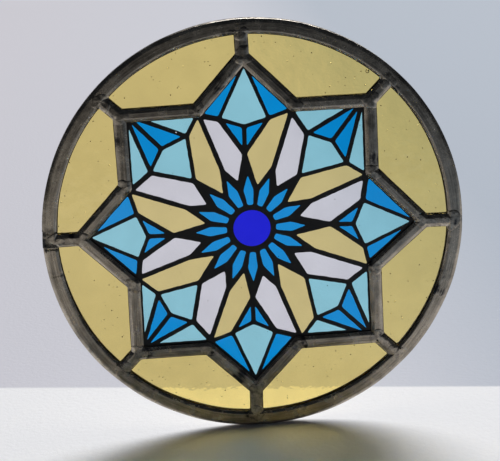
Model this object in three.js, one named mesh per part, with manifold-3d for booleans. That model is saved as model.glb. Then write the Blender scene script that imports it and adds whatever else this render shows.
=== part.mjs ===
// A round leaded light in a rose pattern: one painted star of clear glass and eight amber panes,
// held in lead cames whose joints are soldered on both faces.
// Millimetres, +Z up. The light stands upright, its front faces -Y, and the origin is on the rim's
// outer edge, at the very top.
import * as THREE from 'three';
import { mergeVertices } from 'three/addons/utils/BufferGeometryUtils.js';
import Module from 'manifold-3d';

const wasm = await Module();
wasm.setup();

// Driving dimensions.
const discDiameter = 250;
const rimFace = 9;              // width of the rim came, seen from the front
const rimWeb = 4;               // solid outer edge of the rim came
const rimSides = 64;
const cameFace = 8;             // width of the straight cames
const cameHeart = 1.6;          // web between a straight came's two channels
const channelDepth = 3.6;       // clear height of every channel
const leafEdge = 0.7;           // thickness of a leaf at its lip
const leafCrown = 1.6;          // thickness of a leaf at its middle
const crownShare = 0.25;        // half width of the flat on a straight leaf, as a share of half its face
const shoulderShare = 0.7;      // where its shoulder bends, as a share of half its face
const rimCrownShare = 0.18;     // half width of the flat on the rim's leaf, as a share of its face
const rimShoulderShare = 0.16;  // from the rim's edges to its shoulders, as a share of its face
const shoulderDrop = 0.4;       // how far a shoulder has dropped, as a share of the way to the lip
const glassThickness = 3;
const gap = 0.3;                // clearance between neighbouring pieces
const seam = 0.05;              // overlap of two solids that cut solder away together
const solderGap = 0.25;         // clearance between a solder puddle and the lead that it runs over
const squareHalf = 73;          // centre of the star to the middle of each square's side
const starCentre = [-1.2, -0.2];
const arcSides = 14;            // facets in the round side of an amber pane
const cornerSolder = 3.9;       // radius of the solder puddles at the inner corners
const spokeSolder = 4.5;        // radius of the puddles at both ends of a spoke
const solderRise = 0.6;         // height of the solder over the lead's crown
const solderShoulder = [0.7, 0.6];  // where a puddle rounds over, as shares of its radius and rise
const tipSolderShift = 3.2;     // from a star point outwards to the middle of its solder
const solderSides = 8;

// The light was leaded by hand: these star points and inner corners, numbered clockwise from the
// top, sit off the true layout by so many millimetres to the right and up.
const tipDrift = { 2: [0, -2], 4: [-2.5, 2], 6: [1.9, 0.9] };
const cornerDrift = { 0: [-1.5, 0.2], 2: [-0.3, 2.1], 3: [-5.5, -0.3], 5: [0.8, 1.2], 7: [2.2, 0.4] };

const standard = (color, roughness, metalness) => () =>
  new THREE.MeshStandardMaterial({ color, roughness, metalness });
const leadMaterial = standard(0x55504a, 0.55, 0.6);
const amberMaterial = standard(0xd9c679, 0.08, 0);
const paintedMaterial = standard(0x7fb9d6, 0.12, 0);

const discRadius = discDiameter / 2;
const rimLip = discRadius - rimFace;
const crownY = channelDepth / 2 + leafCrown;
const lipY = channelDepth / 2 + leafEdge;
const shoulderY = crownY - shoulderDrop * (leafCrown - leafEdge);
const throughLead = 4 * crownY;  // thickness of a plate that reaches well past both faces
const compass = ['top', 'upper_right', 'right', 'lower_right', 'bottom', 'lower_left', 'left', 'upper_left'];

// Flat vectors [x, z] in the plane of the disc.
const plus = (a, b, k = 1) => [a[0] + b[0] * k, a[1] + b[1] * k];
const length = (a) => Math.hypot(a[0], a[1]);
const unit = (a) => [a[0] / length(a), a[1] / length(a)];
const turned = (a) => [a[1], -a[0]];
const clockwise = (degrees, radius) => {
  const angle = THREE.MathUtils.degToRad(degrees);
  return [Math.sin(angle) * radius, Math.cos(angle) * radius];
};

// Star points and inner corners: two squares, one a turn of 45 degrees from the other.
const tipRadius = squareHalf * Math.SQRT2;
const cornerRadius = squareHalf / Math.cos(Math.PI / 8);
const starPoint = (degrees, radius, drift = [0, 0]) =>
  plus(plus(starCentre, clockwise(degrees, radius)), drift);
const tips = compass.map((_, k) => starPoint(45 * k, tipRadius, tipDrift[k]));
const corners = compass.map((_, k) => starPoint(45 * k + 22.5, cornerRadius, cornerDrift[k]));

function toManifold(geometry) {
  geometry.deleteAttribute('normal');
  geometry.deleteAttribute('uv');
  const merged = mergeVertices(geometry, 1e-4);
  return new wasm.Manifold(new wasm.Mesh({
    numProp: 3,
    vertProperties: new Float32Array(merged.attributes.position.array),
    triVerts: new Uint32Array(merged.index.array),
  }));
}

function toGeometry(solid) {
  const mesh = solid.getMesh();
  const geometry = new THREE.BufferGeometry();
  geometry.setAttribute('position', new THREE.BufferAttribute(new Float32Array(mesh.vertProperties), 3));
  geometry.setIndex(new THREE.BufferAttribute(new Uint32Array(mesh.triVerts), 1));
  geometry.computeVertexNormals();
  return geometry;
}

// A flat outline in the plane of the disc, made a plate of this thickness about y = 0.
function plate(outline, thickness) {
  const shape = new THREE.Shape(outline.map(([x, z]) => new THREE.Vector2(x, z)));
  const geometry = new THREE.ExtrudeGeometry(shape, { depth: thickness, bevelEnabled: false, steps: 1 });
  geometry.translate(0, 0, -thickness / 2);
  geometry.rotateX(Math.PI / 2);
  return toManifold(geometry);
}

// Points of a rounded leaf from the middle to its lip, as [across, depth], for a face this wide.
function leafCurve(halfFace, grow) {
  return [
    [halfFace * crownShare, crownY + grow],
    [halfFace * shoulderShare, shoulderY + grow],
    [halfFace + grow, lipY + grow],
  ];
}

// The section of a straight came: two rounded leaves on a heart, with a channel on either side.
function cameSection() {
  const half = cameFace / 2;
  const heart = cameHeart / 2;
  const inside = channelDepth / 2;
  const quarter = [...leafCurve(half, 0), [half, inside], [heart, inside]];
  const right = [...quarter, ...quarter.map(([t, y]) => [t, -y]).reverse()];
  return [...right, ...right.map(([t, y]) => [-t, y]).reverse()];
}

// The same outline without its channels, swollen by the clearance, to cut solder with.
function swollenSection() {
  const quarter = leafCurve(cameFace / 2, solderGap);
  const right = [...quarter, ...quarter.map(([t, y]) => [t, -y]).reverse()];
  return [...right, ...right.map(([t, y]) => [-t, y]).reverse()];
}

// A section run in a straight line from one flat point to another, past both by the overrun.
function bar(section, from, to, overrun) {
  const along = unit(plus(to, from, -1));
  const run = length(plus(to, from, -1)) + 2 * overrun;
  const shape = new THREE.Shape(section.map(([t, y]) => new THREE.Vector2(t, y)));
  const geometry = new THREE.ExtrudeGeometry(shape, { depth: run, bevelEnabled: false, steps: 1 });
  const across = turned(along);
  const start = plus(from, along, -overrun);
  const basis = new THREE.Matrix4().makeBasis(
    new THREE.Vector3(across[0], 0, across[1]),
    new THREE.Vector3(0, 1, 0),
    new THREE.Vector3(along[0], 0, along[1]),
  );
  basis.setPosition(start[0], 0, start[1]);
  geometry.applyMatrix4(basis);
  return toManifold(geometry);
}

const crossing = (p, u, q, v) => {
  const det = u[0] * v[1] - u[1] * v[0];
  const d = plus(q, p, -1);
  return plus(p, u, (d[0] * v[1] - d[1] * v[0]) / det);
};

// The direction of the mitre line at a joint between the two cames that leave along a and b.
function mitre(a, b) {
  const sum = plus(a, b);
  return length(sum) > 1e-6 ? unit(sum) : turned(a);
}

// The flat cell that a star came may fill: between the mitre lines at its ends, less a clearance.
function starCell(run, clearance) {
  const along = unit(plus(run.corner, run.tip, -1));
  const across = turned(along);
  const atTip = mitre(along, unit(plus(run.nearCorner, run.tip, -1)));
  const atCorner = mitre(plus([0, 0], along, -1), unit(plus(run.farTip, run.corner, -1)));
  const point = (at, line, side, inward) =>
    plus(crossing(plus(run.tip, across, side * cameFace), along, at, line), along, inward);
  return [
    point(run.tip, atTip, 1, clearance),
    point(run.tip, atTip, -1, clearance),
    point(run.corner, atCorner, -1, -clearance),
    point(run.corner, atCorner, 1, -clearance),
  ];
}

function starBar(run, section, clearance) {
  const straight = bar(section, run.tip, run.corner, cameFace);
  return straight.intersect(plate(starCell(run, clearance), throughLead));
}

// A low puddle of solder over a joint, on the front (side -1) or the back (side 1).
function solderPuddle(at, radius, side) {
  const base = channelDepth / 2 + gap;
  const [shoulderReach, shoulderRise] = solderShoulder;
  const profile = [
    new THREE.Vector2(0, base),
    new THREE.Vector2(radius, base),
    new THREE.Vector2(radius * shoulderReach, crownY + shoulderRise * solderRise),
    new THREE.Vector2(0, crownY + solderRise),
  ];
  const geometry = new THREE.LatheGeometry(profile, solderSides);
  if (side < 0) geometry.rotateX(Math.PI);
  geometry.translate(at[0], 0, at[1]);
  return toManifold(geometry);
}

function withSolder(own, joints, radius, neighbours) {
  let solid = own;
  for (const joint of joints) {
    for (const side of [-1, 1]) {
      let puddle = solderPuddle(joint, radius, side);
      for (const neighbour of neighbours) puddle = puddle.subtract(neighbour);
      solid = solid.add(puddle);
    }
  }
  return solid;
}

// The rim's profile as [radius, depth]: rounded faces, a flat outer edge and one channel inside.
function rimProfile(grow) {
  const middle = (rimLip + discRadius) / 2;
  const crownHalf = rimFace * rimCrownShare;
  const shoulder = rimFace * rimShoulderShare;
  const front = [
    [rimLip - grow, lipY + grow],
    [rimLip + shoulder, shoulderY + grow],
    [middle - crownHalf, crownY + grow],
    [middle + crownHalf, crownY + grow],
    [discRadius - shoulder, shoulderY + grow],
    [discRadius, lipY],
  ];
  const back = front.map(([r, y]) => [r, -y]).reverse();
  const channel = grow > 0 ? [] : [
    [rimLip, -channelDepth / 2],
    [discRadius - rimWeb, -channelDepth / 2],
    [discRadius - rimWeb, channelDepth / 2],
    [rimLip, channelDepth / 2],
  ];
  return [...front, ...back, ...channel];
}

// Turned with a flat facet at the very top, so that flats lie at the profile's own radius.
function turnedRim(grow) {
  const toCorner = 1 / Math.cos(Math.PI / rimSides);
  const points = rimProfile(grow).map(([r, y]) => new THREE.Vector2(r * toCorner, -y));
  points.push(points[0].clone());
  return toManifold(new THREE.LatheGeometry(points, rimSides, Math.PI / rimSides));
}

const rim = turnedRim(0);
const swollenRim = turnedRim(solderGap);

const light = new THREE.Group();
light.position.set(0, 0, -discRadius);

function addPiece(name, solid, material) {
  const mesh = new THREE.Mesh(toGeometry(solid), material);
  mesh.name = name;
  light.add(mesh);
}

// One came on each side of every star point, from the point to the inner corner on that side.
const clockwiseRun = (k) => ({
  tip: tips[k],
  corner: corners[k],
  farTip: tips[(k + 1) % 8],
  nearCorner: corners[(k + 7) % 8],
});
const anticlockwiseRun = (k) => ({
  tip: tips[k],
  corner: corners[(k + 7) % 8],
  farTip: tips[(k + 7) % 8],
  nearCorner: corners[k],
});

compass.forEach((place, k) => {
  const neighbour = starBar(anticlockwiseRun((k + 1) % 8), swollenSection(), -seam);
  const plain = starBar(clockwiseRun(k), cameSection(), gap);
  const soldered = withSolder(plain, [corners[k]], cornerSolder, [neighbour]);
  addPiece(`star_came_${place}_clockwise`, soldered, leadMaterial());
  const other = starBar(anticlockwiseRun(k), cameSection(), gap);
  addPiece(`star_came_${place}_anticlockwise`, other, leadMaterial());
});

// The flat cell of a spoke: notched over the outside of its star point, square at the rim's lip.
function spokeCell(k, rimEnd) {
  const outward = unit(tips[k]);
  const across = turned(outward);
  const offset = cameFace / 2 + gap;
  const sideLine = (corner, side) => {
    const lead = unit(plus(corner, tips[k], -1));
    return [plus(tips[k], turned(lead), side * offset), lead];
  };
  const right = sideLine(corners[k], -1);
  const left = sideLine(corners[(k + 7) % 8], 1);
  return [
    plus(rimEnd, across, cameFace),
    crossing(...right, plus(tips[k], across, cameFace), outward),
    crossing(...right, ...left),
    crossing(...left, plus(tips[k], across, -cameFace), outward),
    plus(rimEnd, across, -cameFace),
  ];
}

// The spokes carry the solder of the star point at one end and of the rim at the other.
compass.forEach((place, k) => {
  const outward = unit(tips[k]);
  const rimEnd = plus([0, 0], outward, rimLip - gap);
  const straight = bar(cameSection(), tips[k], rimEnd, cameFace);
  const plain = straight.intersect(plate(spokeCell(k, rimEnd), throughLead));
  const neighbours = [clockwiseRun(k), anticlockwiseRun(k)]
    .map((run) => starBar(run, swollenSection(), -seam));
  const joints = [plus(tips[k], outward, tipSolderShift), rimEnd];
  const soldered = withSolder(plain, joints, spokeSolder, [...neighbours, swollenRim]);
  addPiece(`spoke_came_${place}`, soldered, leadMaterial());
});

addPiece('rim_came', rim, leadMaterial());

// An outline moved inwards, every side by the same distance.
function inset(outline, distance) {
  const count = outline.length;
  return outline.map((corner, i) => {
    const before = outline[(i + count - 1) % count];
    const after = outline[(i + 1) % count];
    const first = unit(plus(corner, before, -1));
    const second = unit(plus(after, corner, -1));
    return crossing(
      plus(corner, turned(first), distance), first,
      plus(corner, turned(second), distance), second,
    );
  });
}

const heartClear = cameHeart / 2 + gap;

// The painted star: the whole outline of the star, let into the cames' inner channels.
const starOutline = compass.flatMap((_, k) => [tips[k], corners[k]]);
addPiece('painted_star_pane', plate(inset(starOutline, heartClear), glassThickness), paintedMaterial());

// The amber panes: two star sides, two spoke sides and an arc that stands in the rim's channel.
compass.forEach((place, k) => {
  const next = (k + 1) % 8;
  const paneRadius = discRadius - rimWeb - gap;
  const outlineStart = [tips[k], plus([0, 0], unit(tips[k]), discRadius)];
  const outlineEnd = [plus([0, 0], unit(tips[next]), discRadius), tips[next]];
  const sides = inset([...outlineStart, ...outlineEnd, corners[k]], heartClear);
  const [firstTip, firstRim, secondRim, secondTip, corner] = sides;
  const onArc = (from, to) => {
    const along = unit(plus(to, from, -1));
    const middle = from[0] * along[0] + from[1] * along[1];
    const root = Math.sqrt(middle * middle - (length(from) ** 2 - paneRadius ** 2));
    return plus(from, along, root - middle);
  };
  const start = onArc(firstTip, firstRim);
  const end = onArc(secondTip, secondRim);
  const startAngle = Math.atan2(start[0], start[1]);
  const turn = (Math.atan2(end[0], end[1]) - startAngle + 2 * Math.PI) % (2 * Math.PI);
  const arc = Array.from({ length: arcSides + 1 }, (_, i) => {
    const angle = startAngle + (turn * i) / arcSides;
    return [Math.sin(angle) * paneRadius, Math.cos(angle) * paneRadius];
  });
  const name = `amber_pane_${place}_to_${compass[next]}`;
  addPiece(name, plate([firstTip, ...arc, secondTip, corner], glassThickness), amberMaterial());
});

export default light;
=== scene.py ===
import math
import random

import bpy
from mathutils import Matrix, Vector, noise


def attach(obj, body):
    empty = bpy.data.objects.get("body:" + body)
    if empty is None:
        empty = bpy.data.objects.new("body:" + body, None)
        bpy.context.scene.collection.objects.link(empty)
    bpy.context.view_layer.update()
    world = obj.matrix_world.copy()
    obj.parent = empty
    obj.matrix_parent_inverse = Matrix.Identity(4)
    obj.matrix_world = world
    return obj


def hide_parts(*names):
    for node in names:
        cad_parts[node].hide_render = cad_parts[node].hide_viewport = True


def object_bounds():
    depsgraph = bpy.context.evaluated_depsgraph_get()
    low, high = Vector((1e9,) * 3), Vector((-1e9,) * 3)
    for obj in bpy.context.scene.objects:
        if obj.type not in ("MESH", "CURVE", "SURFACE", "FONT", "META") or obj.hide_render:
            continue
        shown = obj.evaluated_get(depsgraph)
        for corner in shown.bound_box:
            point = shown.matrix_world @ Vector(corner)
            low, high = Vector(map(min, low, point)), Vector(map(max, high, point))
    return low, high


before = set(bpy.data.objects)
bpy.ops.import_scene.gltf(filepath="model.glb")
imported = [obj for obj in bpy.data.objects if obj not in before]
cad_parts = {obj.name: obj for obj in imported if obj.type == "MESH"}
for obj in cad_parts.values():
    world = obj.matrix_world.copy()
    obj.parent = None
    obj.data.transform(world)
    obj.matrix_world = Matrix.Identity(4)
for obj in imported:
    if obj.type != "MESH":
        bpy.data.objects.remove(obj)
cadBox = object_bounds()
mm = 0.001
places = ["top", "upper_right", "right", "lower_right", "bottom", "lower_left", "left", "upper_left"]
noise.seed_set(3)  # vector noise would otherwise start from the clock

# Sizes of the leaded light, the same as the frame's, in millimetres. Flat points are (across, up) from
# the middle of the disc, and directions are counted clockwise from the top.
light = {
    "discRadius": 125, "rimFace": 9, "rimWeb": 4,
    "cameFace": 8, "heart": 1.6, "channel": 3.6, "lip": 2.3, "crown": 3.4,
    "glass": 3, "gap": 0.3,
    "squareHalf": 73, "starCentre": (-1.2, -0.2),
    "tipDrift": {2: (0, -2), 4: (-2.5, 2), 6: (1.9, 0.9)},
    "cornerDrift": {0: (-1.5, 0.2), 2: (-0.3, 2.1), 3: (-5.5, -0.3), 5: (0.8, 1.2), 7: (2.2, 0.4)},
}
rimLip = light["discRadius"] - light["rimFace"]


def clockwise(degrees, radius):
    turn = math.radians(degrees)
    return Vector((math.sin(turn) * radius, math.cos(turn) * radius))


def across(way):  # a quarter turn clockwise
    return Vector((way.y, -way.x))


def inSpace(point, depth=0.0):  # a flat point in the frame, in metres; the front faces -Y
    return Vector((point.x * mm, depth * mm, (point.y - light["discRadius"]) * mm))


def meeting(p, u, q, v):  # where two flat lines cross
    det = u.x * v.y - u.y * v.x
    d = q - p
    return p + u * ((d.x * v.y - d.y * v.x) / det)


def starPoint(radius, degrees, drift):
    return Vector(light["starCentre"]) + clockwise(degrees, radius) + Vector(drift)


tips = [starPoint(light["squareHalf"] * math.sqrt(2), 45 * k, light["tipDrift"].get(k, (0, 0)))
        for k in range(8)]
corners = [starPoint(light["squareHalf"] / math.cos(math.pi / 8), 45 * k + 22.5,
                     light["cornerDrift"].get(k, (0, 0))) for k in range(8)]


# Working helpers
def nothingSelected():
    if bpy.context.object and bpy.context.object.mode != "OBJECT":
        bpy.ops.object.mode_set(mode="OBJECT")
    bpy.ops.object.select_all(action="DESELECT")


def workOn(piece, mode="OBJECT"):
    nothingSelected()
    bpy.context.view_layer.objects.active = piece
    piece.select_set(True)
    bpy.ops.object.mode_set(mode=mode)
    if mode == "EDIT":
        bpy.ops.mesh.select_all(action="SELECT")


def settle(piece):  # its place goes into its mesh
    workOn(piece)
    bpy.ops.object.transform_apply(location=True, rotation=True, scale=True)


def facesOutward(piece, merge=1e-7):
    workOn(piece, "EDIT")
    bpy.ops.mesh.remove_doubles(threshold=merge)
    bpy.ops.mesh.normals_make_consistent(inside=False)
    bpy.ops.object.mode_set(mode="OBJECT")


def outlinePiece(name, points, filled=True):  # a ring of edges shaped from a circle
    nothingSelected()
    fill = "NGON" if filled else "NOTHING"
    bpy.ops.mesh.primitive_circle_add(vertices=len(points), radius=1, fill_type=fill)
    piece = bpy.context.object
    piece.name = piece.data.name = name
    for vertex, point in zip(piece.data.vertices, points):
        vertex.co = point
    return piece


def copyOf(piece, name):
    twin = piece.copy()
    twin.data = piece.data.copy()
    twin.name = twin.data.name = name
    bpy.context.scene.collection.objects.link(twin)
    return twin


def joined(pieces, name):
    nothingSelected()
    for piece in pieces:
        piece.select_set(True)
    bpy.context.view_layer.objects.active = pieces[0]
    bpy.ops.object.join()
    pieces[0].name = pieces[0].data.name = name
    return pieces[0]


def smooth(piece, degrees=35):
    workOn(piece)
    bpy.ops.object.shade_smooth_by_angle(angle=math.radians(degrees))


def finished(piece, node):
    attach(piece, "root")
    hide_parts(node)


# Materials
class Wire:  # a socket; sums with it add Math nodes
    def __init__(self, tree, socket=None):
        self.tree = tree
        self.socket = socket

    def node(self, kind, settings=None, sockets=None, output=0):
        made = self.tree.nodes.new("ShaderNode" + kind)
        for name, value in (settings or {}).items():
            if name == "stops":
                ramp = made.color_ramp.elements
                while len(ramp) < len(value):
                    ramp.new(0.5)
                for element, (place, shade) in zip(ramp, value):
                    element.position = place
                    element.color = (*shade, 1) if hasattr(shade, "__len__") else (shade, shade, shade, 1)
            else:
                setattr(made, name, value)
        for name, value in (sockets or {}).items():
            target = made.inputs[name]
            if isinstance(value, Wire):
                self.tree.links.new(value.socket, target)
            elif hasattr(value, "__len__") and target.type == "RGBA" and len(value) == 3:
                target.default_value = (*value, 1)
            else:
                target.default_value = value
        return Wire(self.tree, made.outputs[output]) if len(made.outputs) else made

    def sum(self, operation, first, second=0.0):
        return self.node("Math", {"operation": operation}, {0: first, 1: second})

    def __add__(self, other):
        return self.sum("ADD", self, other)

    def __radd__(self, other):
        return self.sum("ADD", other, self)

    def __sub__(self, other):
        return self.sum("SUBTRACT", self, other)

    def __rsub__(self, other):
        return self.sum("SUBTRACT", other, self)

    def __mul__(self, other):
        return self.sum("MULTIPLY", self, other)

    def __rmul__(self, other):
        return self.sum("MULTIPLY", other, self)


def newMaterial(name):
    material = bpy.data.materials.new(name)
    material.use_nodes = True
    material.node_tree.nodes.clear()
    return material, Wire(material.node_tree)


def objectPlace(wire):
    return wire.node("TexCoord", output=3)


def speckle(wire, place, scale, detail=3.0, roughness=0.5, stretch=None):
    if stretch:
        place = wire.node("Mapping", {}, {"Vector": place, "Scale": stretch})
    return wire.node("TexNoise", {}, {
        "Vector": place, "Scale": scale, "Detail": detail, "Roughness": roughness,
    })


def between(wire, share, low, high):  # a colour between two
    return wire.node("Mix", {"data_type": "RGBA"}, {0: share, 6: low, 7: high}, output=2)


def clipped(wire, value, low, high):  # 0 below low, 1 above high
    return wire.node("MapRange", {"clamp": True}, {"Value": value, "From Min": low, "From Max": high})


def shaded(material, wire, sockets):
    shader = wire.node("BsdfPrincipled", {}, sockets)
    wire.node("OutputMaterial", {}, {"Surface": shader})
    return material


leadFinish = {
    "patina": (0.04, 0.04, 0.044), "worn": (0.54, 0.475, 0.39), "oxide": (0.25, 0.22, 0.18),
    # the near-black colour along the lips where lead meets glass is partly black cement and partly painted
    # shade of that crevice; on solder it is random dark spots
    "blackening": (0.012, 0.011, 0.010), "roughness": (0.16, 0.32), "patch": 42, "blotch": 140, "grain": 1100,
    "smear": 420, "streaks": (38, 4.6, 1), "rubbedEdge": (0.4, 0.58), "patchEdge": (0.58, 0.62),
    "blackeningEdge": (0.89, 0.95), "blackeningBlur": 0.2, "dullEdge": (0.35, 0.65), "blackeningDull": 0.3,
    "metal": 0.9, "bump": 0.00025,
}


def leadMaterial(name, finish, streaked=True):
    material, wire = newMaterial(name)
    place = objectPlace(wire)
    blotch = speckle(wire, place, finish["blotch"], detail=5, roughness=0.6)
    grain = speckle(wire, place, finish["grain"], detail=4, roughness=0.7)
    patch = speckle(wire, place, finish["patch"], detail=4, roughness=0.5)
    if streaked:
        run = wire.node("UVMap", {"uv_map": "UVMap"})
        streak = speckle(wire, run, 1.0, detail=4, roughness=0.65, stretch=finish["streaks"])
        offset = wire.node("SeparateXYZ", {}, {"Vector": run}, output=1)
        offset = wire.node("Math", {"operation": "ABSOLUTE"}, {0: offset})
        # along the lips, where the lead meets the glass, the colour goes near-black: partly the black cement
        # pressed in there, partly painted shade of the crevice
        blackening = clipped(wire, offset + (blotch - 0.5) * finish["blackeningBlur"], *finish["blackeningEdge"])
    else:
        streak = speckle(wire, place, finish["smear"], detail=4, roughness=0.7)
        # on solder the same near-black falls as random dark spots
        blackening = clipped(wire, blotch, *finish["blackeningEdge"])
    rubbed = clipped(wire, streak * 0.6 + blotch * 0.4, *finish["rubbedEdge"])
    stained = clipped(wire, patch * 0.8 + streak * 0.2, *finish["patchEdge"])
    colour = between(wire, rubbed, finish["oxide"], finish["worn"])
    colour = between(wire, stained, colour, finish["patina"])
    colour = between(wire, blackening, colour, finish["blackening"])
    low, high = finish["roughness"]
    dull = clipped(wire, blotch * 0.8 + grain * 0.2, *finish["dullEdge"])
    bump = wire.node("Bump", {}, {
        "Height": streak * 0.4 + grain * 0.05 + blotch, "Strength": 0.5, "Distance": finish["bump"],
    })
    return shaded(material, wire, {
        "Base Color": colour, "Metallic": finish["metal"], "Normal": bump,
        "Roughness": low + dull * (high - low) + blackening * finish["blackeningDull"],
    })


glassTints = {
    "amber": (0.99, 0.795, 0.285), "amberStain": (0.98, 0.805, 0.34), "clear": (1.0, 0.98, 1.0),
    "lightBlue": (0.44, 0.91, 1.0), "blue": (0.001, 0.42, 0.97), "cobalt": (0.006, 0.008, 0.97),
    "plain": (1.0, 1.0, 1.0),
}
glassFinish = {"cloud": 60, "cloudEdge": (0.35, 0.65), "cloudShade": 0.94, "roughness": 0.02, "bend": 1.5}


def glassMaterial(name, colour, faces, waves=90, height=0.00002):  # faces: how many of the two are tinted
    material, wire = newMaterial(name)
    place = objectPlace(wire)
    tint = tuple(c ** (2 / faces) for c in colour)
    cloud = clipped(wire, speckle(wire, place, glassFinish["cloud"]), *glassFinish["cloudEdge"])
    shade = between(wire, cloud, tint, tuple(c * glassFinish["cloudShade"] for c in tint))
    ripple = speckle(wire, place, waves, detail=2)
    bump = wire.node("Bump", {}, {"Height": ripple, "Strength": 0.6, "Distance": height})
    return shaded(material, wire, {
        "Base Color": shade, "Metallic": 0.0, "Roughness": glassFinish["roughness"],
        "IOR": glassFinish["bend"], "Transmission Weight": 1.0, "Normal": bump,
    })


paintFinish = {
    "strokes": 500, "thick": (0.004, 0.004, 0.004), "thin": (0.012, 0.011, 0.012),
    "roughness": (0.38, 0.58), "bump": 0.0002,
}
speckFinish = {"grain": 2500, "dark": (0.05, 0.035, 0.015), "light": (0.16, 0.11, 0.05), "roughness": 0.7}


def paintMaterial(name):
    material, wire = newMaterial(name)
    strokes = speckle(wire, objectPlace(wire), paintFinish["strokes"], detail=4, roughness=0.6)
    colour = between(wire, strokes, paintFinish["thick"], paintFinish["thin"])
    low, high = paintFinish["roughness"]
    bump = wire.node("Bump", {}, {"Height": strokes, "Strength": 0.4, "Distance": paintFinish["bump"]})
    return shaded(material, wire, {
        "Base Color": colour, "Roughness": low + strokes * (high - low), "Normal": bump,
    })


def speckMaterial(name):
    material, wire = newMaterial(name)
    grain = speckle(wire, objectPlace(wire), speckFinish["grain"])
    colour = between(wire, grain, speckFinish["dark"], speckFinish["light"])
    return shaded(material, wire, {"Base Color": colour, "Roughness": speckFinish["roughness"]})


lead = leadMaterial("aged_lead", leadFinish)
solder = leadMaterial("solder", {
    **leadFinish, "oxide": (0.17, 0.155, 0.135), "roughness": (0.12, 0.28), "patch": 90, "blotch": 230,
    "patchEdge": (0.57, 0.62), "blackeningEdge": (0.66, 0.7),
}, streaked=False)
amber = glassMaterial("amber_cathedral_glass", glassTints["amber"], 2, waves=170, height=0.0005)
stains = {name: glassMaterial("stain_" + name, glassTints[name], 1, waves=160)
          for name in ("clear", "amberStain", "lightBlue", "blue", "cobalt")}
paneBack = glassMaterial("pane_back", glassTints["plain"], 1)
seedWall = glassMaterial("seed_walls", glassTints["plain"], 1)
tracery = paintMaterial("black_tracing_paint")
speck = speckMaterial("dark_specks")
print("materials made")


# Lead
leadWork = {
    "stockLength": 70, "stockStep": 1.4, "overrun": 8, "clearance": 0.04, "tuck": 0.1,
    "faceSteps": 11, "lipRadius": 0.25, "lipTurns": (0.5, 1.0, math.pi / 2), "press": 0.2, "mouthInset": 0.1,
    "flatShare": 0.36, "rimFlatShare": 0.55, "shoulderPower": 1.5,
    "waviness": 0.10, "waveLength": 9.0, "seedShift": (7.3, 1.7, 3.1), "runShift": (0.01, 0.013),
    "rimSteps": 720, "rimWaviness": 0.2, "rimWaveLength": 20.0, "outerWall": 0.5, "outerRun": 0.5,
}
# The rim's own marks, at degrees clockwise from the top: a short length let in, from its low end to its
# high end, a crease (where, how deep, how wide), and the rings at a joint (moved to, raised by).
rimMarks = {
    "infill": (268.6, 273.1), "infillSunk": -0.3, "infillProud": 0.35, "infillSpread": (0.6, -0.4),
    "crease": (260.6, 0.35, 0.7),
    "slit": {0: (0.05, 0.25), -1: (-0.05, -0.8), -2: (-1.0, -0.8), -3: (-2.1, 0)},
}


def leafHeight(offset, half, flatShare=None):  # over the disc's middle plane: flat, then rounded off
    flat = (flatShare or leadWork["flatShare"]) * half
    shoulder = max(0.0, min(half, abs(offset)) - flat) / (half - flat)
    return light["crown"] - (light["crown"] - light["lip"]) * shoulder ** leadWork["shoulderPower"]


def leafHalf(half, inner, wallAt, flatShare=None):  # half a leaf, from the crown over the lip to the heart
    lip = leadWork["lipRadius"]
    steps = leadWork["faceSteps"]
    face = [(half - lip) * i / steps for i in range(steps + 1)]
    points = [(t, leafHeight(t, half, flatShare)) for t in face]
    top = points[-1][1] - lip
    for turn in leadWork["lipTurns"]:
        points.append((half - lip + lip * math.sin(turn), top + lip * math.cos(turn)))
    points += [(half - leadWork["mouthInset"], inner - leadWork["press"]), (wallAt, inner)]
    return points


def cameSection():
    quarter = leafHalf(light["cameFace"] / 2, light["channel"] / 2, light["heart"] / 2)
    right = quarter + [(t, -y) for t, y in reversed(quarter)]
    return right + [(-t, y) for t, y in reversed(right[1:-1])]


def makeStock():  # a straight length of came along +Z, its faces towards -Y and +Y
    stock = outlinePiece("came_stock", [Vector((t * mm, y * mm, 0)) for t, y in cameSection()])
    workOn(stock, "EDIT")
    step = (0, 0, leadWork["stockStep"] * mm)
    for number in range(round(leadWork["stockLength"] / leadWork["stockStep"])):
        bpy.ops.mesh.extrude_region_move(TRANSFORM_OT_translate={"value": step})
    bpy.ops.object.mode_set(mode="OBJECT")
    facesOutward(stock)
    markRun(stock, lambda place: (place.z, place.x / (light["cameFace"] / 2 * mm)))
    return stock


def markRun(piece, measure):  # the UV map: metres along the lead and, across it, -1 to 1 from lip to lip
    run = piece.data.uv_layers.active or piece.data.uv_layers.new(name="UVMap")
    for loop in piece.data.loops:
        run.data[loop.index].uv = measure(piece.data.vertices[loop.vertex_index].co)


def shiftRun(piece, start):  # so that no two lengths have the same streaks
    for corner in piece.data.uv_layers.active.data:
        corner.uv.x += start


def handWorked(piece, amount, length, seed):  # lead that was drawn, stretched and bent by hand
    shift = Vector(leadWork["seedShift"]) * seed
    for vertex in piece.data.vertices:
        push = noise.noise_vector(vertex.co / (length * mm) + shift)
        vertex.co += push * amount * mm


def cutTo(piece, outline, depth=10):  # keeps what stands over a flat outline
    cell = outlinePiece("cell", [inSpace(p, -depth) for p in outline])
    workOn(cell, "EDIT")
    bpy.ops.mesh.extrude_region_move(TRANSFORM_OT_translate={"value": (0, 2 * depth * mm, 0)})
    bpy.ops.object.mode_set(mode="OBJECT")
    facesOutward(cell)
    workOn(piece)
    bpy.ops.object.modifier_add(type="BOOLEAN")
    cutter = piece.modifiers[-1]
    cutter.operation = "INTERSECT"
    cutter.solver = "EXACT"
    cutter.object = cell
    bpy.ops.object.modifier_apply(modifier=cutter.name)
    bpy.data.objects.remove(cell)


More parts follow.
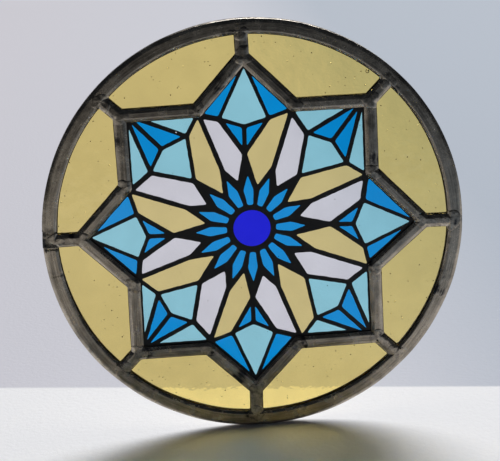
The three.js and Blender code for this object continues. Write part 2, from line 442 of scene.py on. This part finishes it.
def layStock(stock, name, start, end):
    came = copyOf(stock, name)
    way = (end - start).normalized()
    side = across(way)
    begin = inSpace(start - way * leadWork["overrun"])
    came.matrix_world = Matrix((
        (side.x, 0, way.x, begin.x),
        (0, 1, 0, begin.y),
        (side.y, 0, way.y, begin.z),
        (0, 0, 0, 1),
    ))
    settle(came)
    perStart, perEnd = leadWork["runShift"]
    shiftRun(came, start.x * perStart + end.y * perEnd)
    return came


def mitre(first, second):
    total = first + second
    return total.normalized() if total.length > 1e-6 else across(first)


def starCell(tip, corner, nearCorner, farTip):
    way = (corner - tip).normalized()
    side = across(way)
    atTip = mitre(way, (nearCorner - tip).normalized())
    atCorner = mitre(-way, (farTip - corner).normalized())
    clear = leadWork["clearance"]

    def point(at, line, reach, inward):
        return meeting(tip + side * reach * light["cameFace"], way, at, line) + way * inward

    return [point(tip, atTip, 1, clear), point(tip, atTip, -1, clear),
            point(corner, atCorner, -1, -clear), point(corner, atCorner, 1, -clear)]


def spokeCell(k, rimEnd):
    outward = tips[k].normalized()
    side = across(outward)
    offset = light["cameFace"] / 2 - leadWork["clearance"]
    lines = []
    for corner, hand in ((corners[k], -1), (corners[k - 1], 1)):
        way = (corner - tips[k]).normalized()
        lines.append((tips[k] + across(way) * hand * offset, way))
    right, left = lines
    reach = light["cameFace"]
    return [
        rimEnd + side * reach, meeting(*right, tips[k] + side * reach, outward), meeting(*right, *left),
        meeting(*left, tips[k] - side * reach, outward), rimEnd - side * reach,
    ]


leadRuns = []  # flat centrelines of all straight cames, for the solder to lie on
for k in range(8):
    leadRuns += [(tips[k], corners[k]), (tips[k], corners[k - 1])]
    leadRuns.append((tips[k], tips[k].normalized() * rimLip))


def leadTop(point):  # height of the lead's face at a flat point, or None beside it
    found = []
    half = light["cameFace"] / 2
    for start, end in leadRuns:
        run = end - start
        along = max(0.0, min(1.0, (point - start).dot(run) / run.length_squared))
        offset = (point - start - run * along).length
        if offset < half:
            found.append(leafHeight(offset, half))
    middle = light["discRadius"] - light["rimFace"] / 2
    if abs(point.length - middle) < light["rimFace"] / 2:
        found.append(leafHeight(point.length - middle, light["rimFace"] / 2, leadWork["rimFlatShare"]))
    return max(found) if found else None


solderWork = {
    "tipRadius": 6.0, "cornerRadius": 5.4, "rimRadius": 5.0, "rimSpread": {2: 1.35, 7: 1.2},
    "segments": 44, "rings": 28, "rise": 0.26, "sink": 0.1, "dome": 0.6, "skirt": 0.5,
    "ragged": 0.3, "lobes": 1.6, "drawIn": 0.94, "leastReach": 0.5,
    "ridges": 0.18, "ridgeLength": 6.0, "ridgeLevel": 0.35, "fineRidges": (0.5, 2.3), "ridgeFade": 1.6,
    "lobeSeed": 5.1, "ridgeSeed": 3.7,
}


def solderPuddle(centre, radius, side, seed):  # side -1 in front, 1 behind
    nothingSelected()
    bpy.ops.mesh.primitive_uv_sphere_add(segments=solderWork["segments"], ring_count=solderWork["rings"])
    puddle = bpy.context.object
    base = light["channel"] / 2 + solderWork["skirt"]
    lobes = solderWork["lobes"]
    fineShare, finer = solderWork["fineRidges"]
    for vertex in puddle.data.vertices:
        flat = Vector((vertex.co.x, vertex.co.y))
        swell = vertex.co.z
        turn = math.atan2(flat.y, flat.x)
        spot = Vector((math.cos(turn) * lobes, math.sin(turn) * lobes, seed * solderWork["lobeSeed"]))
        ragged = 1 + solderWork["ragged"] * noise.noise(spot)
        reach = flat * radius * ragged
        while leadTop(centre + reach) is None and reach.length > solderWork["leastReach"]:
            reach = reach * solderWork["drawIn"]
        place = centre + reach
        top = leadTop(place) or light["lip"]
        if swell >= 0:
            spot = Vector((place.x, place.y, seed * solderWork["ridgeSeed"])) / solderWork["ridgeLength"]
            ridge = solderWork["ridgeLevel"] - abs(noise.noise(spot) + fineShare * noise.noise(spot * finer))
            dome = swell ** solderWork["dome"]
            lift = (solderWork["rise"] + solderWork["sink"]) * dome - solderWork["sink"]
            fade = min(1, swell * solderWork["ridgeFade"])
            height = top + lift + ridge * solderWork["ridges"] * fade
        else:
            height = base + (top - solderWork["sink"] - base) * (1 + swell) ** 2
        vertex.co = inSpace(place, side * height)
    puddle.data.materials.append(solder)
    facesOutward(puddle)
    return puddle


def soldered(came, joints, name):
    parts = [came]
    for number, (joint, radius) in enumerate(joints):
        for side in (-1, 1):
            parts.append(solderPuddle(joint, radius, side, len(name) + number * 2 + side + joint.x))
    return joined(parts, name)


stock = makeStock()
stock.data.materials.append(lead)
for k, place in enumerate(places):
    for hand, corner, near, far in (
        ("clockwise", corners[k], corners[k - 1], tips[(k + 1) % 8]),
        ("anticlockwise", corners[k - 1], corners[k], tips[k - 1]),
    ):
        came = layStock(stock, f"star_lead_{place}_{hand}", tips[k], corner)
        handWorked(came, leadWork["waviness"], leadWork["waveLength"], 1)
        cutTo(came, starCell(tips[k], corner, near, far))
        smooth(came)
        if hand == "clockwise":
            came = soldered(came, [(corner, solderWork["cornerRadius"])], came.name)
        finished(came, f"star_came_{place}_{hand}")
    outward = tips[k].normalized()
    rimEnd = outward * (rimLip + leadWork["tuck"])
    spoke = layStock(stock, f"spoke_lead_{place}", tips[k], rimEnd)
    handWorked(spoke, leadWork["waviness"], leadWork["waveLength"], 1)
    cutTo(spoke, spokeCell(k, rimEnd))
    smooth(spoke)
    tipJoint = (tips[k] + outward, solderWork["tipRadius"])
    rimJoint = (rimEnd + outward, solderWork["rimRadius"] * solderWork["rimSpread"].get(k, 1))
    spoke = soldered(spoke, [tipJoint, rimJoint], spoke.name)
    finished(spoke, f"spoke_came_{place}")
bpy.data.objects.remove(stock)
print("straight leads laid and soldered")


def rimSection():
    half = light["rimFace"] / 2
    middle = light["discRadius"] - half
    quarter = leafHalf(half, light["channel"] / 2, 0, leadWork["rimFlatShare"])[:-2]
    outer = [(middle + t, y) for t, y in quarter]
    inner = [(middle - t, y) for t, y in quarter[1:]]
    channel = light["channel"] / 2
    mouth = (rimLip + leadWork["mouthInset"], channel - leadWork["press"])
    web = (light["discRadius"] - light["rimWeb"], channel)
    right = outer + [(r, -y) for r, y in reversed(outer)]
    groove = [(mouth[0], -mouth[1]), (web[0], -web[1]), web, mouth]
    left = [(r, -y) for r, y in inner] + groove + list(reversed(inner))
    return right + left


def degreesRound(place):  # clockwise from the top
    return math.degrees(math.atan2(place.x / mm, place.z / mm + light["discRadius"])) % 360


def fitRim(rim):  # the short length let in at the left, a crease under it, and the streaks' map
    degree = math.radians(1) * light["discRadius"]
    pitch = 360 / leadWork["rimSteps"]
    half = light["rimFace"] / 2
    middle = light["discRadius"] - half
    first, last = rimMarks["infill"]
    sunk, proud = rimMarks["infillSunk"], rimMarks["infillProud"]
    creaseAt, creaseDepth, creaseWidth = rimMarks["crease"]
    for vertex in rim.data.vertices:
        turn = degreesRound(vertex.co)
        depth = vertex.co.y / mm
        side = math.copysign(1, depth)
        flat = Vector((vertex.co.x / mm, vertex.co.z / mm + light["discRadius"]))
        radius = flat.length
        slit = 0
        for joint in (first, last):  # the rings next to a joint close up into a raised edge over a slit
            ring = math.floor((turn - joint) / pitch)
            if ring in rimMarks["slit"]:
                away, slit = rimMarks["slit"][ring]
                turn = joint + away / degree
                slit *= 1 - min(1, abs(radius - middle) / half) ** 3
        outside = radius > light["discRadius"] - leadWork["outerWall"]
        shown = outside or abs(depth) > light["channel"] / 2 + leadWork["mouthInset"]
        if shown and first < turn < last:
            share = (last - turn) / (last - first)
            lift = sunk + (proud - sunk) * share
            depth += side * lift
            overWeb = radius > light["discRadius"] - light["rimWeb"]
            radius += lift * rimMarks["infillSpread"][0 if overWeb else 1]
        crease = max(0, 1 - abs(turn - creaseAt) * degree / creaseWidth)
        if shown:
            depth += side * (slit - creaseDepth * crease)
        vertex.co = inSpace(clockwise(turn, radius), depth)
    run = rim.data.uv_layers.active or rim.data.uv_layers.new(name="UVMap")
    for polygon in rim.data.polygons:
        spots = [rim.data.vertices[i].co for i in polygon.vertices]
        turns = [degreesRound(spot) for spot in spots]
        for i, spot, turn in zip(polygon.loop_indices, spots, turns):
            reach = math.hypot(spot.x / mm, spot.z / mm + light["discRadius"])
            whole = turn + 360 if max(turns) - turn > 180 else turn
            run.data[i].uv = (whole * degree * mm, min(leadWork["outerRun"], (reach - middle) / half))


def makeRim():
    discMiddle = inSpace(Vector((0, 0)))
    rim = outlinePiece("rim_lead", [discMiddle + Vector((r * mm, y * mm, 0)) for r, y in rimSection()])
    workOn(rim, "EDIT")
    bpy.ops.mesh.delete(type="ONLY_FACE")
    bpy.ops.mesh.select_all(action="SELECT")
    bpy.ops.mesh.spin(steps=leadWork["rimSteps"], angle=2 * math.pi, center=discMiddle, axis=(0, 1, 0))
    bpy.ops.object.mode_set(mode="OBJECT")
    facesOutward(rim)
    fitRim(rim)
    handWorked(rim, leadWork["rimWaviness"], leadWork["rimWaveLength"], 2)
    smooth(rim, 30)
    rim.data.materials.clear()
    rim.data.materials.append(lead)
    return rim


finished(makeRim(), "rim_came")
print("rim made")


# What is sealed in the glass: gas seeds and dark specks
sealed = {"segments": 14, "rings": 8, "flattened": 0.6, "depth": 0.8}


def inside(points, point):
    hit = False
    for i in range(len(points)):
        a, b = points[i - 1], points[i]
        if (a.y > point.y) != (b.y > point.y):
            if point.x < (b.x - a.x) * (point.y - a.y) / (b.y - a.y) + a.x:
                hit = not hit
    return hit


def inclusion(centre, radius, depth, material, inverted):
    nothingSelected()
    bpy.ops.mesh.primitive_uv_sphere_add(
        segments=sealed["segments"], ring_count=sealed["rings"], radius=radius * mm)
    grain = bpy.context.object
    grain.scale = (1.0, sealed["flattened"], 1.0)
    grain.location = inSpace(centre, depth)
    settle(grain)
    grain.data.materials.append(material)
    if inverted:
        workOn(grain, "EDIT")
        bpy.ops.mesh.flip_normals()
    smooth(grain, 180)
    return grain


def sealedIn(outline, amount, sizes, material, rng):  # strewn over a flat outline
    low = Vector((min(p.x for p in outline), min(p.y for p in outline)))
    high = Vector((max(p.x for p in outline), max(p.y for p in outline)))
    grains = []
    while len(grains) < amount:
        centre = Vector((rng.uniform(low.x, high.x), rng.uniform(low.y, high.y)))
        if inside(outline, centre):
            radius = rng.uniform(*sizes)
            depth = rng.uniform(-sealed["depth"], sealed["depth"])
            grains.append(inclusion(centre, radius, depth, material, material == seedWall))
    return grains


# The star pane's picture. Points where the painted lines meet, in millimetres across and outwards
# along each star point's own middle line, for the star points in order, clockwise from the top.
painting = {
    "centre": (-1.0, 0.3), "ringDrift": (-0.8, -0.5), "borderMiddle": 0.8, "borderRise": 0.65,
    "lineHalf": {"side": 1.25, "kite": 0.95, "facet": 1.35, "clear": (2.0, 1.8, 1.3, 1.5, 1.9),
                 "amber": (1.2, 1.4, 1.2, 1.2, 1.0)},
    "tip": [(0.5, 98.5), (-3, 100), (2.5, 96.8), (2.7, 101.5), (2.7, 96), (-0.9, 101), (0.7, 97.5),
            (2.3, 101.5)],
    "left": [(-15.5, 67.3), (-14, 64.2), (-12.3, 67), (-13, 67), (-10.5, 65.8), (-12.3, 67), (-14.4, 68),
             (-13.8, 67.7)],
    "right": [(13.1, 65.8), (15.5, 66.3), (15.8, 66.8), (16.2, 67), (15, 64.8), (15.3, 67.3), (13, 67.5),
              (16.3, 66)],
    "middle": [(-1.3, 62), (0.2, 70.3), (1.7, 60.8), (2.3, 73), (2.2, 59.2), (1.3, 72.3), (-0.8, 62),
               (0.9, 72)],
    "neck": [(-1.8, 46), (-0.2, 42.5), (0.9, 47.5), (1, 45), (2, 43.8), (1.2, 46), (-1.1, 47), (-0.8, 45.3)],
    "corner": [(26.5, 70), (29.6, 69), (28.9, 69.6), (31.3, 69), (28.6, 69.3), (30.4, 68.2), (27.4, 71.3),
               (30.2, 69.6)],
    "fork": (15.1, 36.5), "clearFoot": 27.5, "amberFoot": 24.5,
    "petal": [(14.6, 1.7), (24, 2.9), (33, 0)], "petals": 16, "petalDrift": (10, 14),
    "discRadius": 11.1, "discStep": 9, "pinholes": [(-42.1, 61.2)], "pinholeRadius": 0.4, "pinholeStep": 45,
    "mostCorners": 5, "roundness": 1.1, "cutShare": 0.3,
    "wobble": 0.2, "wobbleStep": 2.2, "wobbleLength": 3.1, "wobbleSeed": 0.37,
    "edgeClear": 1.1, "specks": 44, "speckSize": (0.1, 0.26), "speckMargin": 6, "seed": 7,
}


def paintedPoint(k, offset, drift=(0, 0)):
    outward = clockwise(45 * k, 1)
    return Vector(painting["centre"]) + Vector(drift) + outward * offset[1] + across(outward) * offset[0]


def offsetCell(points, insets):  # moves each side inwards; side i runs from point i to the next
    count = len(points)
    area = sum(points[i].x * points[(i + 1) % count].y - points[(i + 1) % count].x * points[i].y
               for i in range(count))
    hand = -1 if area > 0 else 1
    lines = []
    for i in range(count):
        way = (points[(i + 1) % count] - points[i]).normalized()
        lines.append((points[i] + across(way) * hand * insets[i], way))
    return [meeting(*lines[i - 1], *lines[i]) for i in range(count)]


def brushed(points, seed):  # rounded corners and a slightly unsteady edge
    count = len(points)
    edge = []
    for i in range(count):
        corner = points[i]
        back = points[i - 1] - corner
        ahead = points[(i + 1) % count] - corner
        cut = min(painting["roundness"], min(back.length, ahead.length) * painting["cutShare"])
        first = corner + back.normalized() * cut
        last = corner + ahead.normalized() * cut
        edge += [first, first * 0.25 + corner * 0.5 + last * 0.25, last]
        span = (points[(i + 1) % count] + (corner - points[(i + 1) % count]).normalized() * cut) - last
        steps = int(span.length / painting["wobbleStep"])
        edge += [last + span * step / (steps + 1) for step in range(1, steps + 1)]
    moved = []
    for point in edge:
        push = noise.noise_vector(Vector((point.x, point.y, seed)) / painting["wobbleLength"])
        moved.append(point + Vector((push.x, push.y)) * painting["wobble"])
    return moved


def ringOf(centre, radius, step):
    return [centre + clockwise(turn, radius) for turn in range(0, 360, step)]


def pictureCells():
    cells = []
    for k in range(8):
        point = {}
        for name in ("tip", "left", "right", "middle", "neck"):
            point[name] = paintedPoint(k, painting[name][k])
        point["after"] = paintedPoint(k, painting["corner"][k])
        point["before"] = paintedPoint(k - 1, painting["corner"][k - 1])
        drift = painting["ringDrift"]
        fork = painting["fork"]
        point["afterFork"] = paintedPoint(k, fork, drift)
        point["beforeFork"] = paintedPoint(k, (-fork[0], fork[1]), drift)
        foot = math.radians(11.25)
        for name, hand in (("clearFoot", -1), ("amberFoot", 1)):
            radius = painting[name]
            point[name] = paintedPoint(k, (hand * radius * math.sin(foot), radius * math.cos(foot)), drift)

        def cell(stain, kind, names, outer=None):
            around = [point[name] for name in names]
            width = painting["lineHalf"][kind]
            insets = width if hasattr(width, "__len__") else [width] * len(names)
            if outer is not None:  # the side along the lead keeps a border that is wider below
                start, end = outer
                way = (end - start).normalized()
                out = across(way)
                if out.dot(around[1] - start) > 0:
                    out = -out
                border = painting["borderMiddle"] - painting["borderRise"] * out.y
                shift = light["cameFace"] / 2 + border
                line = (start - out * shift, way)
                middle = offsetCell(around, insets)
                toTip = (middle[1] - middle[0]).normalized()
                toCorner = (middle[1] - middle[2]).normalized()
                cells.append((stain, [meeting(middle[1], toTip, *line), middle[1],
                                      meeting(middle[1], toCorner, *line)]))
                return
            cells.append((stain, offsetCell(around, insets)))

        faceted = k % 2 == 1
        sideStain = "lightBlue" if faceted else "blue"
        cell(sideStain, "side", ["tip", "left", "before"], (tips[k], corners[k - 1]))
        cell(sideStain, "side", ["tip", "right", "after"], (tips[k], corners[k]))
        if faceted:
            cell("blue", "facet", ["tip", "left", "middle"])
            cell("blue", "facet", ["tip", "middle", "right"])
            cell("lightBlue", "kite", ["middle", "left", "neck", "right"])
        else:
            cell("lightBlue", "kite", ["tip", "left", "middle", "right"])
            cell("blue", "facet", ["left", "neck", "middle"])
            cell("blue", "facet", ["middle", "neck", "right"])
        cell("clear", "clear", ["before", "left", "neck", "clearFoot", "beforeFork"])
        cell("amberStain", "amber", ["after", "right", "neck", "amberFoot", "afterFork"])
    centre = Vector(painting["centre"])
    driftFrom, driftOver = painting["petalDrift"]
    for number in range(painting["petals"]):
        outward = clockwise(360 * number / painting["petals"], 1)
        outline = []
        for hand in (-1, 1):
            side = []
            for radius, width in painting["petal"]:
                shift = Vector(painting["ringDrift"]) * min(1, (radius - driftFrom) / driftOver)
                side.append(centre + shift + outward * radius + across(outward) * hand * width)
            outline += side if hand < 0 else list(reversed(side))[1:]
        cells.append(("blue", outline))
    cells.append(("cobalt", ringOf(centre, painting["discRadius"], painting["discStep"])))
    for place in painting["pinholes"]:
        cells.append(("clear", ringOf(Vector(place), painting["pinholeRadius"], painting["pinholeStep"])))
    return cells


def shrunk(points, distance):
    return offsetCell(points, [distance] * len(points))


def makeStarPane():
    faceY = -light["glass"] / 2
    starOutline = [p for k in range(8) for p in (tips[k], corners[k])]
    paneOutline = shrunk(starOutline, painting["edgeClear"])
    cells = []
    for number, (stain, points) in enumerate(pictureCells()):
        if len(points) <= painting["mostCorners"]:
            points = brushed(points, number * painting["wobbleSeed"])
        cells.append((stain, [inSpace(p, faceY) for p in points]))
    rings = [outlinePiece("star_edge", [inSpace(p, faceY) for p in paneOutline], False)]
    for stain, edge in cells:
        rings.append(outlinePiece("cell_edge", edge, False))
    field = joined(rings, "painted_star")
    workOn(field, "EDIT")
    bpy.ops.mesh.fill(use_beauty=True)
    bpy.ops.object.mode_set(mode="OBJECT")
    field.data.materials.append(tracery)
    parts = [field]
    for stain, edge in cells:
        patch = outlinePiece("cell", edge)
        patch.data.materials.append(stains[stain])
        parts.append(patch)
    pane = joined(parts, "painted_star")
    workOn(pane, "EDIT")
    bpy.ops.mesh.remove_doubles(threshold=1e-7)
    bpy.ops.object.mode_set(mode="OBJECT")
    front = len(pane.data.polygons)
    bpy.ops.object.modifier_add(type="SOLIDIFY")
    wall = pane.modifiers[-1]
    wall.thickness = light["glass"] * mm
    wall.offset = -1
    wall.use_even_offset = False
    for polygon in pane.data.polygons:
        if polygon.normal.y > 0:
            polygon.flip()
    pane.data.materials.append(paneBack)
    last = len(pane.data.materials) - 1
    wall.material_offset = last
    wall.material_offset_rim = last
    bpy.ops.object.modifier_apply(modifier=wall.name)
    print("star pane", front, "faces in front,", len(pane.data.polygons), "in all")
    rng = random.Random(painting["seed"])
    field = shrunk(starOutline, painting["speckMargin"])
    grains = sealedIn(field, painting["specks"], painting["speckSize"], speck, rng)
    return joined([pane] + grains, "painted_star")


finished(makeStarPane(), "painted_star_pane")
print("star pane painted")


# Amber panes
paneWork = {
    "grid": 3.2, "overlap": 2, "merge": 5e-5, "edgeClear": 1.1, "arcSteps": 24,
    "ripple": 0.07, "rippleLength": 16.0, "rippleTwist": 20, "rippleSeed": 9.1,
    "seeds": 12, "seedSize": (0.12, 0.45), "specks": 14, "speckSize": (0.12, 0.38), "sealedMargin": 4,
    "firstSeed": 40, "bubble": (1.15, (71.1, 89.8), -0.6),
}


def amberOutline(k):
    following = (k + 1) % 8
    radius = light["discRadius"] - light["rimWeb"] - light["gap"]
    first = tips[k].normalized()
    second = tips[following].normalized()
    sides = shrunk([tips[k], first * light["discRadius"], second * light["discRadius"], tips[following],
                    corners[k]], paneWork["edgeClear"])
    firstTip, firstRim, secondRim, secondTip, corner = sides

    def onArc(start, towards):
        way = (towards - start).normalized()
        middle = start.dot(way)
        return start + way * (math.sqrt(middle ** 2 - start.length_squared + radius ** 2) - middle)

    start = onArc(firstTip, firstRim)
    end = onArc(secondTip, secondRim)
    startTurn = math.atan2(start.x, start.y)
    turn = (math.atan2(end.x, end.y) - startTurn) % (2 * math.pi)
    steps = paneWork["arcSteps"]
    arc = [clockwise(math.degrees(startTurn + turn * i / steps), radius) for i in range(steps + 1)]
    return [firstTip] + arc + [secondTip, corner]


def makeAmberPane(k):
    outline = amberOutline(k)
    rng = random.Random(paneWork["firstSeed"] + k)
    name = f"amber_glass_{places[k]}_to_{places[(k + 1) % 8]}"
    low = Vector((min(p.x for p in outline), min(p.y for p in outline)))
    high = Vector((max(p.x for p in outline), max(p.y for p in outline)))
    size = high - low
    reachAcross, reachUp = (length / 2 + paneWork["overlap"] for length in size)
    nothingSelected()
    columns, rows = (int(length / paneWork["grid"]) + 2 for length in size)
    bpy.ops.mesh.primitive_grid_add(x_subdivisions=columns, y_subdivisions=rows, size=2)
    sheet = bpy.context.object
    for vertex in sheet.data.vertices:
        flat = (low + high) / 2 + Vector((vertex.co.x * reachAcross, vertex.co.y * reachUp))
        vertex.co = inSpace(flat, 0)
    workOn(sheet, "EDIT")
    bpy.ops.mesh.extrude_region_move(TRANSFORM_OT_translate={"value": (0, light["glass"] * mm, 0)})
    bpy.ops.mesh.select_all(action="SELECT")
    bpy.ops.transform.translate(value=(0, -light["glass"] / 2 * mm, 0))
    bpy.ops.object.mode_set(mode="OBJECT")
    facesOutward(sheet)
    cutTo(sheet, outline)
    facesOutward(sheet, paneWork["merge"])
    twist = paneWork["rippleTwist"]  # so that the two faces don't ripple alike
    shift = Vector((k * paneWork["rippleSeed"], 0, 0))
    for vertex in sheet.data.vertices:
        spot = Vector((vertex.co.x, vertex.co.y * twist, vertex.co.z)) / (paneWork["rippleLength"] * mm)
        vertex.co.y += noise.noise(spot + shift) * paneWork["ripple"] * mm
    sheet.data.materials.clear()
    sheet.data.materials.append(amber)
    smooth(sheet)
    parts = [sheet]
    clearance = shrunk(outline, paneWork["sealedMargin"])
    parts += sealedIn(clearance, paneWork["seeds"], paneWork["seedSize"], seedWall, rng)
    parts += sealedIn(clearance, paneWork["specks"], paneWork["speckSize"], speck, rng)
    if k == 0:
        radius, centre, depth = paneWork["bubble"]
        parts.append(inclusion(Vector(centre), radius, depth, seedWall, True))
    return joined(parts, name)


for k in range(8):
    pane = makeAmberPane(k)
    finished(pane, f"amber_pane_{places[k]}_to_{places[(k + 1) % 8]}")
print("amber panes made")


# Floor, light and camera
studio = {
    "table": (0.84, 0.84, 0.86), "grain": 300, "grainShade": 0.94, "roughness": 0.8, "bump": 0.001,
    "below": 0.0002, "edgeAt": 0.058, "edgeTurn": 10.7, "edgeSoft": 0.003,
    # past a line behind the disc the floor is coloured as a wall: its grey-blue tone is partly the wall's
    # own colour and partly painted shade, and its darkening towards the right is painted shade
    "paintedWall": [(0.0, (0.585, 0.57, 0.625)), (0.6, (0.545, 0.555, 0.62)), (0.84, (0.38, 0.43, 0.51))],
    # painted shade: the floor grows darker with distance behind the line
    "beyondHalf": 0.35, "far": 0.8, "farAt": 2.2,
    # painted shade in front of the disc: the floor dims to 60% past about 0.1 m and to 10% past 0.7 m, and
    # the lead and glass reflect it
    "front": [(0.11, 1.0), (0.2, 0.6), (0.54, 0.6), (0.7, 0.1)],
    # painted room light on the floor in front: warm towards the left and dark blue towards the right, for
    # the lead to reflect
    "paintedRoomLight": [(0.3, (1.0, 0.97, 0.93)), (0.7, (0.42, 0.51, 0.63))], "paintedRoomLightAt": (-0.3, -0.2),
    "floorHalf": 9, "skyColour": (0.02, 0.024, 0.03),
    "softboxSize": 13, "softboxPower": 5800, "softboxPlace": (4.2, 13.9, 13.3),
}


def makeFloor():
    nothingSelected()
    ground = (0, 0, cadBox[0][2] - studio["below"])
    bpy.ops.mesh.primitive_plane_add(size=2 * studio["floorHalf"], location=ground)
    floor = bpy.context.object
    floor.name = "floor"
    settle(floor)
    material, wire = newMaterial("pale_floor")
    place = objectPlace(wire)
    x, y = (wire.node("SeparateXYZ", {}, {"Vector": place}, output=i) for i in (0, 1))
    turn = math.radians(studio["edgeTurn"])
    edge = studio["edgeAt"] * math.cos(turn)
    back = y * math.cos(turn) + x * math.sin(turn)
    # the floor past the line, coloured as a shaded wall
    paintedWall = clipped(wire, back, edge, edge + studio["edgeSoft"])
    grain = speckle(wire, place, studio["grain"], detail=4, roughness=0.6)
    table = between(wire, grain, tuple(c * studio["grainShade"] for c in studio["table"]), studio["table"])
    sideways = clipped(wire, x, -studio["beyondHalf"], studio["beyondHalf"])
    # the wall's tones, grey-blue and darker towards the right: partly wall colour, partly painted shade
    far = wire.node("ValToRGB", {"stops": studio["paintedWall"]}, {0: sideways})
    # painted room light in front, warm to the left and dark blue to the right, blending into the table
    # nearer the disc
    near = wire.node("ValToRGB", {"stops": studio["paintedRoomLight"]}, {0: sideways})
    near = between(wire, clipped(wire, y, *studio["paintedRoomLightAt"]), near, table)
    # painted shade, darker with distance behind the line
    fade = 1 - clipped(wire, y, studio["edgeAt"], studio["farAt"]) * (1 - studio["far"])
    # painted shade over the floor in front of the disc
    front = wire.node("ValToRGB", {"stops": studio["front"]}, {0: 0 - y})
    colour = between(wire, fade * front, (0, 0, 0), between(wire, paintedWall, near, far))
    bump = wire.node("Bump", {}, {"Height": grain, "Strength": 0.3, "Distance": studio["bump"]})
    shaded(material, wire, {"Base Color": colour, "Roughness": studio["roughness"], "Normal": bump})
    floor.data.materials.append(material)


def makeLights():
    world = bpy.data.worlds.new("studio")
    world.use_nodes = True
    world.node_tree.nodes["Background"].inputs["Color"].default_value = (*studio["skyColour"], 1)
    bpy.context.scene.world = world
    nothingSelected()
    place = Vector(studio["softboxPlace"])
    aim = (-place).to_track_quat("-Z", "Y").to_euler()
    bpy.ops.object.light_add(type="AREA", location=place, rotation=aim)
    softbox = bpy.context.object
    softbox.name = "softbox"
    softbox.data.size = studio["softboxSize"]
    softbox.data.energy = studio["softboxPower"]


view = {"aim": (-0.0022, 0, -0.1265), "distance": 0.8936, "heading": 2.62, "lookDown": 15.75, "roll": -3.21,
        "lens": 108, "sensor": 36}


def makeCamera():
    heading, down, roll = (math.radians(view[name]) for name in ("heading", "lookDown", "roll"))
    ahead = Vector((math.sin(heading), math.cos(heading), 0))
    forward = ahead * math.cos(down) - Vector((0, 0, math.sin(down)))
    level = Vector((math.cos(heading), -math.sin(heading), 0))
    upright = level.cross(forward)
    right = level * math.cos(roll) + upright * math.sin(roll)
    up = right.cross(forward)
    nothingSelected()
    bpy.ops.object.camera_add()
    camera = bpy.context.object
    turned = Matrix((right, up, -forward)).transposed().to_4x4()
    camera.matrix_world = Matrix.Translation(Vector(view["aim"]) - forward * view["distance"]) @ turned
    camera.data.lens = view["lens"]
    camera.data.sensor_width = view["sensor"]
    bpy.context.scene.camera = camera


makeFloor()
makeLights()
makeCamera()
bpy.context.scene.view_settings.view_transform = "Standard"
print("studio set")
